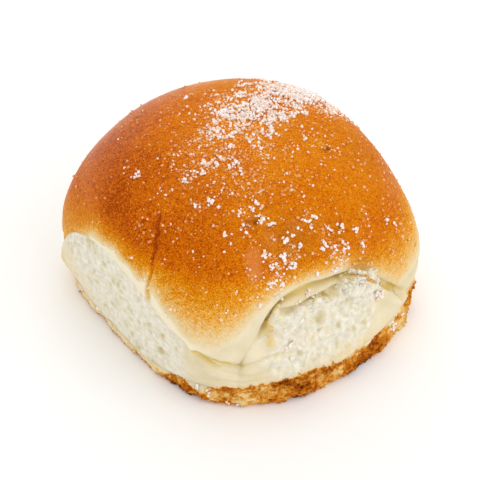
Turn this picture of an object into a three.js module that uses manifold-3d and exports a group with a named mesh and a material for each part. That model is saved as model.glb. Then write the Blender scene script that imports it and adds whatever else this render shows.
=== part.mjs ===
// Soft sweet bun pulled from a batch and topped with coarse sugar.
// Millimetres, +Z up. One solid: the baked crust, the four torn sides, the ragged foot it
// stood on and the largest sugar lumps stuck to its crown are one piece of material.
// The corner that points at -Y is the front; azimuths are measured from +X towards +Y.
import * as THREE from 'three';
import { mergeVertices } from 'three/addons/utils/BufferGeometryUtils.js';
import Module from 'manifold-3d';

const HEIGHT = 52.9;          // foot to crown
const CROWN = [-1.8, 0.6];    // how far the highest point stands off the middle
const DOME_R = 0.73;          // fullness of the dome's shoulder
const DOME_Z = 1.22;          // how steadily the dome climbs
const SIDE_AZ = 306;          // azimuth the right-hand torn side looks along
const WIDE = [35.5, 41.3, 42.1, 39.4];   // middle to the crust over each torn side
const WIDE_CORNER = 47.5;     // middle to the crust at the rounded corners
const BASE = [43.5, 37.0, 38.4, 38.2];   // middle to the foot at each torn side
const BASE_CORNER = 43.4;     // the same at the rounded corners
const SQUARE = 10;            // how squarely the sides meet
const ARCH = [31.5, 33.4, 30.0, 29.5];   // height of the crust's lower edge over each side
const ARCH_HALF = [36.7, 39, 37, 36];    // half the sweep of each torn side, degrees
const ARCH_SHIFT = [-1.2, -2, 1, 0];     // the arch's top off the side's middle, degrees
const ARCH_POWER = 0.43;      // how abruptly the edge drops to the corners
const VALLEY = [16.2, 9.9, 10.5, 9.6];   // height of that edge on the front, left, back, right corner
// Where that edge leaves the plain arch: azimuth and its spread in degrees, how far up.
const SLANTS = [
  { az: 254.5, wide: 6.5, up: 4.4 },
  { az: 284, wide: 7, up: 3 },
  { az: 295, wide: 9, up: 2.6 },
  { az: 329, wide: 6, up: -1.8 },
];
const CORNER_HIGH = 19.6;     // height of the widest line at the corners
const ROLL = 2.6;             // how far the crust's fullest line stays above its lower edge
const FOOT_ROUND = 1.6;       // rounding under the foot

// Values that change around the bun: right side, front corner, left side, left corner,
// left back side, back corner, right back side, right corner.
const FOOT_HIGH = [6.8, 6.2, 2.2, 3.0, 3.4, 4.5, 5.2, 8.4];   // top of the browned foot
const FOOT_PROUD = [0.6, 0.3, 0.2, 0.2, 0.4, 0.6, 0.7, 1.2];  // foot standing out of the side
const LIP = [3.5, 1.8, 0.7, 0.2, 1.4, 1.8, 2.0, 1.1];         // crust hanging over the side
const BELLY = [0.5, 1.0, 0.7, 2.6, 0.7, 1.0, 0.6, 1.0];       // side swelling outwards
const WIDE_SWELL = [0, -1.6, 0, 0.8, 0, 0, 0, 0.7];           // corner filled out at the widest line
const BASE_SWELL = [0, -1.9, 0, 2.8, 0, 0.5, 0, 1.8];         // corner filled out at the foot
const RAGGED = [0.85, 0.12, 0.45, 0.2, 0.6, 0.2, 0.65, 0.25]; // depth of the torn crumb's crags

// Tears and folds that show on the sides: azimuth and its spread in degrees, share of the
// way up to the crust and its spread, and how far it stands out (or in, below zero).
const TEARS = [
  { az: 321, wide: 6, up: 0.88, tall: 0.12, out: 1.5 },
  { az: 294, wide: 11, up: 0.94, tall: 0.07, out: 1.3 },
  { az: 298, wide: 12, up: 0.78, tall: 0.08, out: -0.9 },
  { az: 284, wide: 4, up: 0.62, tall: 0.2, out: 1.0 },
  { az: 337, wide: 5, up: 0.45, tall: 0.25, out: 0.8 },
  { az: 232, wide: 4, up: 0.9, tall: 0.1, out: 0.9 },
  { az: 240, wide: 4, up: 0.3, tall: 0.12, out: -0.9 },
  { az: 118, wide: 7, up: 0.85, tall: 0.12, out: 1.2 },
  { az: 136, wide: 9, up: 0.5, tall: 0.2, out: -0.8 },
  { az: 28, wide: 6, up: 0.7, tall: 0.15, out: 1.1 },
  { az: 44, wide: 8, up: 0.9, tall: 0.08, out: 1.0 },
];

const COLUMNS = 92;           // facets around
const ROWS = { floor: 2, foot: 5, side: 9, lip: 4, dome: 19 };

// Sugar: the lumps, largest first, and the drifts where it lay thick.
const LUMPS = 92;
const LUMP_LARGE = 1.45;      // half length of the largest lump
const LUMP_SMALL = 0.65;      // half length of the smallest one modelled
const LUMP_LOWEST = 34;       // sugar slid off the crust below this height
// Drift: plan x, y of its middle, its reach and its share of the lumps.
const DRIFTS = [
  { x: 9, y: 20, reach: 11, share: 0.24 },
  { x: 1, y: 6, reach: 8, share: 0.12 },
  { x: 20, y: 22, reach: 5, share: 0.05 },
  { x: -1, y: -7, reach: 4.5, share: 0.05 },
  { x: -8, y: -9.5, reach: 4, share: 0.06 },
  { x: -12.5, y: -12.5, reach: 2.5, share: 0.04 },
  { x: -8.5, y: -21, reach: 2, share: 0.02 },
  { x: -1, y: -28, reach: 3, share: 0.03 },
  { x: 4, y: -24, reach: 4, share: 0.06 },
  { x: 11.5, y: -30, reach: 3.5, share: 0.08 },
  { x: 9, y: -34, reach: 3.5, share: 0.06 },
  { x: 17, y: -24, reach: 3.5, share: 0.05 },
  { x: 23, y: -24.5, reach: 4, share: 0.05 },
  { x: 29, y: -22, reach: 3, share: 0.05 },
  { x: 38, y: -15, reach: 3, share: 0.02 },
  { x: 0, y: -4, reach: 32, share: 0.02 },
];

const RAD = Math.PI / 180;
const turn = (a) => ((a + 540) % 360 + 360) % 360 - 180;

// Repeatable random numbers between 0 and 1.
function seeded(seed) {
  let s = seed;
  return () => {
    s = (s * 16807) % 2147483647;
    return s / 2147483647;
  };
}

// Eight values spread evenly around the bun, blended smoothly between.
function around(values, az) {
  let sum = 0;
  for (let i = 0; i < 8; i++) {
    const a = turn(az - (SIDE_AZ - 45 * i));
    if (Math.abs(a) < 45) sum += 0.5 * (1 + Math.cos(4 * a * RAD)) * values[i];
  }
  return sum;
}

// Rounded-square plan outline with its own distance to each side.
function outline(sides, corner, swell, az, fill = 1) {
  let sum = corner ** -SQUARE;
  for (let i = 0; i < 4; i++) {
    const c = Math.cos(turn(az - (SIDE_AZ - 90 * i)) * RAD);
    if (c > 0) sum += (c / sides[i]) ** SQUARE;
  }
  let r = sum ** (-1 / SQUARE);
  for (let i = 0; i < 8; i++) {
    const a = turn(az - (SIDE_AZ - 45 * i));
    r += fill * swell[i] * Math.exp(-((a / 22) ** 2));
  }
  return r;
}

// Height of the crust's lower edge: an arch over each torn side, a valley at each corner.
function edgeHeight(az) {
  let low = 0;
  let weight = 0;
  for (let i = 0; i < 4; i++) {
    const w = Math.max(0, 1 - Math.abs(turn(az - (SIDE_AZ - 45 - 90 * i))) / 90);
    low += w * VALLEY[i];
    weight += w;
  }
  low /= weight;
  let high = low;
  for (let i = 0; i < 4; i++) {
    const a = (turn(az - (SIDE_AZ - 90 * i)) - ARCH_SHIFT[i]) / ARCH_HALF[i];
    const inside = Math.max(0, 1 - a * a);
    const rise = 1.1 * inside ** (ARCH_POWER + 1) / (inside + 0.1);
    high = Math.max(high, low + (ARCH[i] - low) * rise);
  }
  for (const { az: at, wide, up } of SLANTS) high += up * Math.exp(-((turn(az - at) / wide) ** 2));
  return high;
}

// Crossed waves that read as unplanned unevenness; s is their size.
function uneven(x, y, z, s) {
  const a = Math.sin(1.7 * x / s + 1.3 * Math.sin(1.1 * y / s + 2));
  const b = Math.sin(1.9 * y / s + 1.7 * Math.sin(1.3 * z / s));
  const c = Math.sin(2.1 * z / s + 1.5 * Math.sin(1.2 * x / s + 4));
  return (a + b + c) / 3;
}

// How far the tears stand out of a side at an azimuth and a share of the way up.
function tears(az, up) {
  let out = 0;
  for (const tear of TEARS) {
    const a = turn(az - tear.az) / tear.wide;
    const b = (up - tear.up) / tear.tall;
    out += tear.out * Math.exp(-a * a - b * b);
  }
  return out;
}

// Radius, height and share of the climb on the dome, t running from the widest line at a
// corner (0) to the crown (90 degrees). The plan is square low down and round at the crown.
function dome(az, t) {
  const free = WIDE_CORNER * Math.max(Math.cos(t), 1e-4) ** DOME_R;
  const lift = Math.sin(t) ** DOME_Z;
  const r = outline(WIDE, free, WIDE_SWELL, az, Math.cos(t));
  return [r, CORNER_HIGH + (HEIGHT - CORNER_HIGH) * lift, lift];
}

// Where the dome starts above the crust's lower edge.
function domeStart(az) {
  const widest = Math.max(CORNER_HIGH, edgeHeight(az) + ROLL);
  return Math.asin(((widest - CORNER_HIGH) / (HEIGHT - CORNER_HIGH)) ** (1 / DOME_Z));
}

// Radius and height at one azimuth, listed from the floor to just below the crown.
function profile(az) {
  const base = outline(BASE, BASE_CORNER, BASE_SWELL, az);
  const edge = edgeHeight(az);
  const first = domeStart(az);
  const [wide, widest, sway] = dome(az, first);
  const foot = around(FOOT_HIGH, az);
  const proud = around(FOOT_PROUD, az);
  const under = wide - around(LIP, az);
  const belly = around(BELLY, az);
  const ragged = around(RAGGED, az);
  const cos = Math.cos(az * RAD);
  const sin = Math.sin(az * RAD);
  const points = [];
  const crag = (r, z, depth, s) => depth * uneven(r * cos, r * sin, z, s);
  for (let i = 1; i <= ROWS.floor; i++) {
    points.push([(base - FOOT_ROUND) * i / (ROWS.floor + 1), 0, 0]);
  }
  for (let i = 0; i <= ROWS.foot; i++) {
    const t = i / ROWS.foot * Math.PI;
    const r = base - FOOT_ROUND + FOOT_ROUND * Math.sin(t);
    const z = foot / 2 * (1 - Math.cos(t));
    points.push([r + crag(base, z, 0.55, 2.3) * (i > 0 ? 1 : 0), z, 0]);
  }
  const start = base - proud;
  for (let i = 1; i <= ROWS.side; i++) {
    const t = i / ROWS.side;
    const z = foot + (edge - foot) * t;
    const r = start + (under - start) * t + belly * Math.sin(Math.PI * t) + tears(az, t);
    points.push([r + crag(r, z, ragged, 2.6) * Math.sin(Math.PI * (0.12 + 0.83 * t)), z, 0]);
  }
  for (let i = 1; i <= ROWS.lip; i++) {
    const t = i / ROWS.lip * Math.PI / 2;
    const z = edge + (widest - edge) * (1 - Math.cos(t));
    points.push([under + (wide - under) * Math.sin(t), z, sway * Math.sin(t)]);
  }
  for (let i = 1; i <= ROWS.dome; i++) {
    const t = first + (Math.PI / 2 - first) * i / (ROWS.dome + 1);
    const [r, z, lift] = dome(az, t);
    points.push([r + crag(r, z, 0.3, 14) * Math.cos(t), z, lift]);
  }
  return points;
}

function place([r, z, lift], az) {
  return [r * Math.cos(az * RAD) + CROWN[0] * lift, r * Math.sin(az * RAD) + CROWN[1] * lift, z];
}

// The bun without its sugar, its plan box centred on the origin.
function bodyGeometry() {
  const vertices = [[0, 0, 0]];
  let count = 0;
  for (let c = 0; c < COLUMNS; c++) {
    const az = c / COLUMNS * 360;
    const points = profile(az);
    count = points.length;
    for (const p of points) vertices.push(place(p, az));
  }
  vertices.push([CROWN[0], CROWN[1], HEIGHT]);
  const top = vertices.length - 1;
  const at = (c, i) => 1 + (c % COLUMNS) * count + i;
  const faces = [];
  for (let c = 0; c < COLUMNS; c++) {
    faces.push(0, at(c + 1, 0), at(c, 0));
    for (let i = 0; i < count - 1; i++) {
      faces.push(at(c, i), at(c + 1, i), at(c + 1, i + 1));
      faces.push(at(c, i), at(c + 1, i + 1), at(c, i + 1));
    }
    faces.push(at(c, count - 1), at(c + 1, count - 1), top);
  }
  const geometry = new THREE.BufferGeometry();
  geometry.setAttribute('position', new THREE.Float32BufferAttribute(vertices.flat(), 3));
  geometry.setIndex(faces);
  geometry.computeBoundingBox();
  const box = geometry.boundingBox;
  const shift = [-(box.min.x + box.max.x) / 2, -(box.min.y + box.max.y) / 2];
  geometry.translate(shift[0], shift[1], 0);
  return { geometry, shift };
}

// Point of the dome above a plan position: t is halved towards the radius it needs.
function domePoint(x, y, shift) {
  let low = 0;
  let high = Math.PI / 2;
  let z = HEIGHT;
  for (let k = 0; k < 24; k++) {
    const t = (low + high) / 2;
    const lift = Math.sin(t) ** DOME_Z;
    const px = x - shift[0] - CROWN[0] * lift;
    const py = y - shift[1] - CROWN[1] * lift;
    const at = dome(Math.atan2(py, px) / RAD, t);
    z = at[1];
    if (at[0] > Math.hypot(px, py)) low = t;
    else high = t;
  }
  return [x, y, z];
}

function domeNormal(x, y, shift) {
  const d = 0.6;
  const sx = (domePoint(x + d, y, shift)[2] - domePoint(x - d, y, shift)[2]) / (2 * d);
  const sy = (domePoint(x, y + d, shift)[2] - domePoint(x, y - d, shift)[2]) / (2 * d);
  return new THREE.Vector3(-sx, -sy, 1).normalize();
}

// One sugar lump: a rough crystal sunk by a third into the crust.
function lumpGeometry({ x, y, size }, shift, random) {
  const geometry = new THREE.IcosahedronGeometry(1, 0);
  geometry.deleteAttribute('normal');
  geometry.deleteAttribute('uv');
  const merged = mergeVertices(geometry, 1e-4);
  const position = merged.getAttribute('position');
  for (let i = 0; i < position.count; i++) {
    const k = 0.82 + 0.36 * random();
    position.setXYZ(i, position.getX(i) * k, position.getY(i) * k, position.getZ(i) * k);
  }
  merged.scale(size, size * (0.6 + 0.3 * random()), size * (0.5 + 0.2 * random()));
  merged.rotateZ(random() * 2 * Math.PI);
  const normal = domeNormal(x, y, shift);
  const up = new THREE.Vector3(0, 0, 1);
  const turned = new THREE.Quaternion().setFromUnitVectors(up, normal);
  merged.applyQuaternion(turned);
  const [px, py, pz] = domePoint(x, y, shift);
  const sink = 0.12 * size;
  merged.translate(px + normal.x * sink, py + normal.y * sink, pz + normal.z * sink);
  return merged;
}

// Lumps, largest first, each in the drift its turn falls in and apart from the others.
function lumpPlaces(shift) {
  const random = seeded(4127);
  const places = [];
  for (let n = 0; n < LUMPS; n++) {
    const size = LUMP_LARGE + (LUMP_SMALL - LUMP_LARGE) * Math.sqrt(n / LUMPS);
    for (let attempt = 0; attempt < 60; attempt++) {
      let pick = random();
      let drift = DRIFTS[0];
      for (const d of DRIFTS) {
        drift = d;
        pick -= d.share;
        if (pick < 0) break;
      }
      const reach = drift.reach * Math.sqrt(random());
      const angle = 2 * Math.PI * random();
      const x = drift.x + reach * Math.cos(angle);
      const y = drift.y + reach * Math.sin(angle);
      const apart = places.every((q) => Math.hypot(q.x - x, q.y - y) > (q.size + size) * 0.95);
      if (apart && domePoint(x, y, shift)[2] > LUMP_LOWEST) {
        places.push({ x, y, size });
        break;
      }
    }
  }
  return { places, random };
}

function toSolid(wasm, geometry) {
  const vertProperties = new Float32Array(geometry.getAttribute('position').array);
  const triVerts = new Uint32Array(geometry.getIndex().array);
  return new wasm.Manifold(new wasm.Mesh({ numProp: 3, vertProperties, triVerts }));
}

const wasm = await Module();
wasm.setup();

const body = bodyGeometry();
let solid = toSolid(wasm, body.geometry);
const { places, random } = lumpPlaces(body.shift);
for (const lump of places) {
  solid = solid.add(toSolid(wasm, lumpGeometry(lump, body.shift, random)));
}

const mesh = solid.getMesh();
const bunGeometry = new THREE.BufferGeometry();
bunGeometry.setAttribute('position', new THREE.Float32BufferAttribute(mesh.vertProperties, 3));
bunGeometry.setIndex(Array.from(mesh.triVerts));
bunGeometry.computeVertexNormals();

const crust = new THREE.MeshStandardMaterial({ color: 0xc8721c, roughness: 0.42, metalness: 0 });
crust.name = 'crust';
const bun = new THREE.Mesh(bunGeometry, crust);
bun.name = 'bun';

const group = new THREE.Group();
group.name = 'sugar_topped_bun';
group.add(bun);
export default group;
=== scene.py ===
import math

import bpy
import numpy as np
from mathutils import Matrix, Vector


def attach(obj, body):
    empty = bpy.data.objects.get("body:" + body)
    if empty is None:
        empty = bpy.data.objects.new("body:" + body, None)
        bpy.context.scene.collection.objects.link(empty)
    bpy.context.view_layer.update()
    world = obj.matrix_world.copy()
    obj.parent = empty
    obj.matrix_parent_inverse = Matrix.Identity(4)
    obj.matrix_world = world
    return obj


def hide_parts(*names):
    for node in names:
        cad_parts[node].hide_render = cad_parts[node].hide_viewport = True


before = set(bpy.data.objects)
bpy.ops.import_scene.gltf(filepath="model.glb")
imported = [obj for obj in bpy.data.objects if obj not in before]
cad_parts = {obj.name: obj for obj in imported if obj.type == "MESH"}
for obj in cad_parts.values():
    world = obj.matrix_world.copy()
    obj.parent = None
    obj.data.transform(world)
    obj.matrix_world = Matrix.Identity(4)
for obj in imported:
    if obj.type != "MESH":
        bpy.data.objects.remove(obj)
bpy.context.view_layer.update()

MM = 0.001
RAD = math.pi / 180
SEED, HOLE_SEED, LUMP_SEED = 61, 307, 4127
rng = np.random.default_rng(SEED)

# ---- the bun's own sizes, mm
# Four values are for the sides at azimuth 306, 216, 126 and 36, or the corners after them.
# Eight are for side, corner, side and so on.
HEIGHT = 52.9  # foot to crown
CROWN = (-1.8, 0.6)  # how far the highest point stands off the middle
DOME_R = 0.73  # fullness of the dome's shoulder
DOME_Z = 1.22  # how steadily the dome climbs
SIDE_AZ = 306  # azimuth the right torn side looks along
LEFT_AZ, HIDDEN_AZ = 216, 81  # azimuths of the left side, and of the corner that isn't seen
WIDE = (35.5, 41.3, 42.1, 39.4)  # middle to the crust over each torn side
WIDE_CORNER = 47.5  # middle to the crust at the rounded corners
BASE = (43.5, 37.0, 38.4, 38.2)  # middle to the foot at each torn side
BASE_CORNER = 43.4  # the same at the rounded corners
SQUARE = 10  # how squarely the sides meet
SWELL_SPREAD = 22  # degrees that a swell takes in
ARCH = (31.5, 33.4, 30.0, 29.5)  # height of the crust's lower edge over each side
ARCH_HALF = (36.7, 39, 37, 36)  # half the sweep of each torn side, degrees
ARCH_SHIFT = (-1.2, -2, 1, 0)  # the arch's top off the side's middle, degrees
ARCH_POWER = 0.43  # how abruptly the edge drops to the corners
ARCH_EASE = 0.1  # how softly it leaves them
VALLEY = (16.2, 9.9, 10.5, 9.6)  # height of that edge on the corners
CORNER_HIGH = 19.6  # height of the widest line at the corners
ROLL = 2.6  # how far the crust's fullest line stays above its lower edge
FOOT_ROUND = 1.6  # rounding under the foot
FOOT_HIGH = (6.8, 6.2, 2.2, 3.0, 3.4, 4.5, 5.2, 8.4)  # top of the browned foot
FOOT_PROUD = (0.6, 0.3, 0.2, 0.2, 0.4, 0.6, 0.7, 1.2)  # foot standing out of the side
LIP = (3.5, 1.8, 0.7, 0.2, 1.4, 1.8, 2.0, 1.1)  # crust hanging over the side
LIP_GAP = (272, 4.5, 0.85)  # where it hangs over least: azimuth, spread, share taken off
BELLY = (0.5, 1.0, 0.7, 2.6, 0.7, 1.0, 0.6, 1.0)  # side swelling outwards
WIDE_SWELL = (0, -1.6, 0, 0.8, 0, 0, 0, 0.7)  # corner filled out at the widest line
BASE_SWELL = (0, -1.9, 0, 2.8, 0, 0.5, 0, 1.8)  # corner filled out at the foot
RAGGED = (0.85, 0.12, 0.45, 0.2, 0.6, 0.2, 0.65, 0.25)  # depth of the torn crumb's crags
RAGGED_SIZE = 2.6
FOOT_CRAG, FOOT_CRAG_SIZE = 0.55, 2.3
DOME_WAVE, DOME_WAVE_SIZE = 0.3, 14
SHIFT = (1.2656, -1.6974)  # brings the plan box to the middle
# Tears: azimuth, its spread, share of the way up, its spread, how far out.
TEARS = (
    (321, 6, 0.88, 0.12, 1.5), (294, 11, 0.94, 0.07, 1.3), (298, 12, 0.78, 0.08, -0.9),
    (284, 4, 0.62, 0.2, 1), (337, 5, 0.45, 0.25, 0.8), (232, 4, 0.9, 0.1, 0.9),
    (240, 4, 0.3, 0.12, -0.9), (118, 7, 0.85, 0.12, 1.2), (136, 9, 0.5, 0.2, -0.8),
    (28, 6, 0.7, 0.15, 1.1), (44, 8, 0.9, 0.08, 1),
)
# Sugar drifts: plan x, y, reach, share of the lumps.
DRIFTS = (
    (9, 20, 11, 0.24), (1, 6, 8, 0.12), (20, 22, 5, 0.05), (-1, -7, 4.5, 0.05), (-8, -9.5, 4, 0.06),
    (-12.5, -12.5, 2.5, 0.04), (-8.5, -21, 2, 0.02), (-1, -28, 3, 0.03), (4, -24, 4, 0.06),
    (11.5, -30, 3.5, 0.08), (9, -34, 3.5, 0.06), (17, -24, 3.5, 0.05), (23, -24.5, 4, 0.05),
    (29, -22, 3, 0.05), (38, -15, 3, 0.02), (0, -4, 32, 0.02),
)
# Loose crystals: plan x, y, spread, crystals a square millimetre.
SUGAR_DRIFTS = (
    (13, 24, 5.5, 6), (18.5, 22.5, 5, 5.4), (25, 17.5, 3.4, 2.2), (6.5, 16, 5.2, 4.6),
    (2, 10, 5, 3.6), (8, 11.5, 4.2, 2.6), (-2.5, 12, 4.6, 1.5), (-4, 17, 4, 0.7),
    (-9.5, 12.5, 2.6, 0.9), (-5.5, 2.5, 4.5, 1.6), (0.8, -0.2, 4, 2.6), (12.6, 9, 2.8, 1.3),
    (6.3, -3.8, 2.8, 1.1), (-3, -9, 3.4, 0.9), (-9, -9, 2.4, 0.7), (-13, -12.8, 1.8, 1.4),
    (-8.5, -21, 1.4, 0.9), (-10, -2, 4, 0.6), (3, -14, 5, 0.5), (1.5, -22.9, 2.2, 0.8),
    (6, -24.7, 1.4, 0.8), (-1.7, -29.4, 1.2, 0.5), (8.6, -29, 1.4, 0.8), (12.6, -30.8, 1.7, 2.4),
    (8.3, -33, 1.4, 1.5), (9.6, -35.4, 1.7, 2), (4, -36.6, 1.6, 1), (17.5, -22.5, 2, 0.5),
    (21.5, -25.5, 1.8, 1.6), (24.4, -26.6, 1.7, 2.2), (27, -25.6, 1.4, 1),
    (30.8, -21.8, 1.3, 0.8), (31, -16.5, 1.6, 1), (39.8, -15.8, 1.6, 0.7),
    (41.3, -12.5, 1.2, 1.1), (24, -2, 12, 0.12),
)
# Where the lumps carry few crystals: plan x, y, reach.
BARE = ((-1, 26, 4.5), (-10, -11, 2.5), (38, -13.4, 2.5), (0, -27.5, 3.2), (16, -26, 2.5))
LUMPS = 92
LUMP_LARGE = 1.45  # half length of the largest lump
LUMP_SMALL = 0.65  # half length of the smallest
LUMP_LOWEST = 34  # sugar slid off the crust below this height
SHREDS, GRAINS = 1000, 3600  # loose crumb, and baked grains on the foot

# Where the crust's lower edge leaves the plain arch: azimuth, spread, how far up.
SLANTS = ((254.5, 6.5, 4.4), (284, 7, 3), (295, 9, 2.6), (329, 6, -1.8))

# Browning by azimuth: heights where the skin leaves pale, is golden, and is brown.
BROWNING = (
    (5, 24, 34, 40), (20, 31.2, 36, 40.2), (36, 32.4, 36.6, 40.6), (55, 30.6, 36, 40.4),
    (68, 22, 33, 39.6), (81, 17, 30, 39), (95, 22, 33.4, 39.6), (108, 30.8, 36, 40.4),
    (126, 32.2, 36.6, 40.6), (145, 30.6, 36.4, 40.4), (158, 24, 33, 39.5), (168, 16, 26, 37),
    (178, 12, 25.5, 37), (187, 17, 29.5, 39.5), (200, 33.4, 38.4, 42), (216, 37.4, 40.2, 42.4),
    (227, 36.6, 39.4, 42), (231, 35.2, 39.6, 43.2), (234, 36, 40.6, 43.6), (238, 34.2, 40, 43.3),
    (243, 31, 38.4, 42.4), (252, 25.2, 37.6, 42), (261, 22.7, 37.8, 42), (268, 25.5, 38.8, 42),
    (275, 31, 39.2, 41.8), (285, 35.8, 40, 42), (300, 35.4, 39.6, 41.8), (315, 33.2, 39, 42),
    (330, 24.5, 31.8, 36.5), (340, 15, 29.5, 38.5), (348, 18, 32.5, 39.5), (355, 22, 35.5, 40.5),
)
# The foot by azimuth: its ridge's height, and browning, 0 to 1, of the ridge, middle and bottom.
FOOT_BROWN = (
    (0, 8, 0.5, 0.35, 0.6), (36, 5, 0.5, 0.35, 0.65), (81, 4.4, 0.55, 0.45, 0.75),
    (126, 3.3, 0.4, 0.3, 0.65), (171, 2.8, 0.2, 0.12, 0.45), (190, 2.2, 0, 0.05, 0.32),
    (216, 2, 0, 0.06, 0.42), (232, 2.4, 0.05, 0.1, 0.5), (242, 4, 0.5, 0.52, 0.7),
    (249, 4.8, 0.6, 0.66, 0.76), (254, 3.8, 0.4, 0.56, 0.86), (258, 5.2, 0.4, 0.4, 0.6),
    (263, 8.9, 0.6, 0.48, 0.46), (270, 8, 0.54, 0.2, 0.3), (278, 9.3, 0.58, 0.5, 0.56),
    (284, 9.4, 0.6, 0.54, 0.7), (290, 9.3, 0.6, 0.64, 0.9), (300, 8.2, 0.6, 0.42, 0.46),
    (312, 6.2, 0.38, 0.36, 0.62), (317, 6.4, 0.5, 0.6, 0.96), (322, 6.4, 0.44, 0.48, 0.9),
    (330, 7.4, 0.5, 0.42, 0.42), (338, 7, 0.36, 0.28, 0.3), (346, 9.4, 0.46, 0.34, 0.36),
)
# Creases and folds on the sides: half width, depth (minus stands out), share of painted shade in the
# crease, browning, then azimuth and height along each.
CREASES = (
    (0.7, 1.4, 1.3, 0, (248.5, 24.6), (251.5, 23.4), (254.4, 22.4), (257.6, 21.3), (260.8, 20),
     (264, 18.4), (269, 15.6)),
    (1, 0.8, 1, 0, (252.6, 22.6), (255.5, 20.8), (258.3, 18.8), (261, 16.8)),
    (0.45, 0.35, 0.35, 0, (267, 15.3), (272, 16.6), (279, 17.6), (286, 17), (293, 15.4)),
    (0.35, 0.25, 0.2, 0, (262, 15), (268, 13.2), (276, 12.6), (284, 13.4)),
    (0.35, 0.22, 0.2, 0, (256, 13.5), (262, 11.5), (270, 10.3), (280, 10.6)),
    (0.6, 0.9, 0.9, 0, (276.5, 24.5), (278.5, 27.5), (281.5, 30.6), (286, 32.5), (292, 32.7),
     (298, 32.1), (304, 31.3), (311, 30.7), (317, 30.1)),
    (0.4, 0.35, 0.75, 0, (284, 29.6), (288, 28.9), (294, 28.6), (301, 27.6), (307, 27.2),
     (311, 28)),
    (0.6, 1, 1, 0, (329, 25), (333, 21), (338, 16.8), (344.5, 11.2)),
    (1, -1.6, 0.1, 0, (283, 31.5), (287, 31.2), (294, 30.6), (301, 29.8), (308, 29.4),
     (314.5, 29.9)),
    (2.2, -2, 0, 0, (312, 26.4), (316, 27), (320, 26.6), (325, 24.8), (329.5, 22)),
    (1.35, -2.6, 0, 0, (315.6, 29.2), (319.4, 28.8), (322.8, 27.7), (325.6, 26.4), (328, 25)),
    (0.9, -1, 0, 0, (331, 19.4), (333.4, 18.6)),
    (0.9, -0.7, 0.35, 0.14, (278.6, 27), (279.2, 25), (279.6, 22.5), (280.4, 20.5)),
    (1.2, 0.5, 0.35, 0, (237.2, 11.6), (236.6, 13.4)),
    (0.6, 0.9, 0.8, 0, (66, 21.5), (72, 18), (79, 14.6), (86, 12.5)),
    (0.6, 0.8, 0.7, 0, (101, 18), (95, 15.5), (88, 14.2)),
    (0.5, 0.7, 0.6, 0, (350, 18.5), (356, 15.5), (362, 13.4)),
    (0.6, 0.8, 0.7, 0, (157, 20.5), (162, 16.5), (168, 13)),
    (1.6, -0.8, 0, 0, (118, 28.4), (122, 27), (128, 27.8)),
    (1.5, -0.8, 0, 0, (40, 28.2), (46, 26.6), (50, 25.2)),
    (1.4, -0.9, 0, 0, (228.8, 34), (232.5, 33.2)),
)
# Where the right side's crumb begins under its ledge: azimuth, height.
CRUMB_TOP = (
    (270, 23), (276, 24), (278.4, 27), (280, 30.4), (283, 31), (285.5, 28.9), (288, 27.8),
    (293, 28.2), (299, 27.7), (306.5, 27.3), (311, 28), (313.5, 29.2), (316, 30.4), (319.4, 30.8),
    (325, 28.6), (330, 25.8), (336, 20), (345, 12),
)
# Where it ends on the right, against smooth skin: height, azimuth.
CRUMB_END = ((6, 320), (9, 322), (12, 325), (16, 328), (20, 331.5), (25, 332.5))
# The largest holes in the crumb: azimuth, height, radius in mm, share dented.
HOLES = (
    (309.9, 17.3, 0.8, 0.45), (300.1, 19.1, 0.7, 0.45), (297.2, 18.5, 0.6, 0.4),
    (311.2, 10.3, 0.8, 0.4), (291.4, 15.2, 0.8, 0.4), (287.2, 14.8, 0.7, 0.4),
    (321.6, 13.7, 0.6, 0.4), (301.4, 22.5, 1.7, 0.2), (237.2, 11.6, 1.4, 0.5),
    (235.6, 15.4, 0.8, 0.4), (232.9, 19.7, 0.8, 0.4), (221, 15.3, 1, 0.35),
    (214.8, 24.9, 0.9, 0.4), (205.5, 27.5, 1, 0.4), (199.8, 17.6, 1, 0.4), (128, 18, 1.3, 0.5),
    (118, 24, 1, 0.4), (141, 13, 0.9, 0.4), (33, 17, 1.2, 0.5), (47, 22, 1, 0.4),
    (22, 11, 0.9, 0.4),
)
# The small ones on each side: count, size.
HOLES_A_SIDE = ((110, 0.75), (190, 1), (220, 1), (220, 0.95))
# The thin browned edge of a torn flap on the right side, azimuth, radius and height, and its lumps
# of crust and of crumb.
FLAP = (
    (318.2, 35.4, 31), (318.9, 37.2, 31.7), (319, 39.4, 32.7), (320.8, 39.3, 30.2),
    (323.4, 39.7, 28),
)
FLAP_CRUST, FLAP_CRUMB = 70, 120
# A fold down the left of the crust: plan y and x.
FOLD = (
    (-34.5, -22), (-32.7, -21.3), (-30.5, -20.5), (-28.1, -20), (-25, -19.5), (-20.5, -19.1),
)
# Stray sugar below the crown: azimuth, height, reach in mm, crystals.
STRAYS = (
    (296.7, 31, 0.7, 5), (300.9, 30, 0.4, 2), (290.9, 31, 0.4, 2), (286, 33.4, 0.5, 3),
    (280.1, 25.1, 0.6, 4), (287.5, 18.8, 0.9, 6), (331.4, 18.9, 1.3, 15), (334.2, 6.4, 1.1, 11),
    (320.2, 29.6, 0.9, 6), (340.2, 6.6, 0.5, 3), (317, 38.4, 0.3, 1), (277, 34.6, 0.6, 4),
    (302.5, 36.8, 0.4, 2), (253.2, 4.9, 0.8, 6), (257.3, 4.2, 0.6, 3), (265, 2, 0.4, 2),
    (267.8, 1.5, 0.4, 2), (329.3, 28.2, 0.3, 1), (100, 6, 0.7, 4), (52, 20, 0.5, 3),
    (24, 5, 0.8, 5), (140, 9, 0.5, 3), (196, 4, 0.5, 2),
)
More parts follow.
